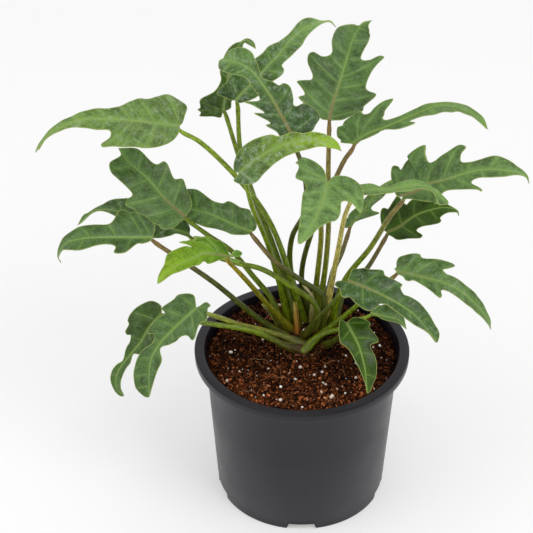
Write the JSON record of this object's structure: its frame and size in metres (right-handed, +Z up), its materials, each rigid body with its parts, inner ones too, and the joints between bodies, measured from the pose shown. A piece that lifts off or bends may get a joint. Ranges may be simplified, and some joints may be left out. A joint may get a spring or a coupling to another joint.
{
  "type": "potted philodendron",
  "caption": "Young split-leaf foliage plant in a round tapered nursery pot filled with potting mix; stands on a flat base.",
  "frame": {"origin": "centre of the pot's flat underside, on the surface that it stands on", "axes": "+Z up along the pot's axis, +X to the right and +Y away from the viewer when the plant's open side faces -Y"},
  "size_m": [0.3715, 0.217, 0.3705],
  "materials": {
    "black_plastic": "matte",
    "potting_mix": "matte",
    "crown": "matte",
    "dry_sheath": "matte",
    "leaf": "satin",
    "pale_leaf": "satin",
    "young_leaf": "satin",
    "stalk": "satin",
    "brown_stalk": "satin",
    "yellow_stalk": "satin"
  },
  "bodies": {
    "root": {"pot": "black_plastic", "potting_mix": "potting_mix", "crown": "crown", "sheath_01": "dry_sheath", "sheath_02": "dry_sheath", "sheath_03": "dry_sheath", "blade_01": "pale_leaf", "stalk_01": "stalk", "blade_02": "leaf", "stalk_02": "stalk", "blade_03": "leaf", "stalk_03": "brown_stalk", "blade_04": "leaf", "stalk_04": "stalk", "blade_05": "leaf", "stalk_05": "brown_stalk", "blade_06": "young_leaf", "stalk_06": "yellow_stalk", "blade_07": "leaf", "stalk_07": "stalk", "blade_08": "leaf", "stalk_08": "stalk", "blade_09": "leaf", "stalk_09": "stalk", "blade_10": "leaf", "stalk_10": "stalk", "blade_11": "leaf", "stalk_11": "stalk", "blade_12": "pale_leaf", "stalk_12": "stalk", "blade_13": "leaf", "stalk_13": "brown_stalk", "blade_14": "leaf", "stalk_14": "stalk", "blade_15": "leaf", "stalk_15": "brown_stalk", "blade_16": "leaf", "stalk_16": "brown_stalk", "blade_17": "leaf", "stalk_17": "yellow_stalk", "blade_18": "leaf", "stalk_18": "brown_stalk", "blade_19": "leaf", "stalk_19": "stalk", "blade_20": "leaf", "stalk_20": "stalk", "blade_21": "leaf", "stalk_21": "stalk", "blade_22": "leaf", "stalk_22": "stalk", "blade_23": "leaf", "stalk_23": "brown_stalk"}
  },
  "joints": []
}
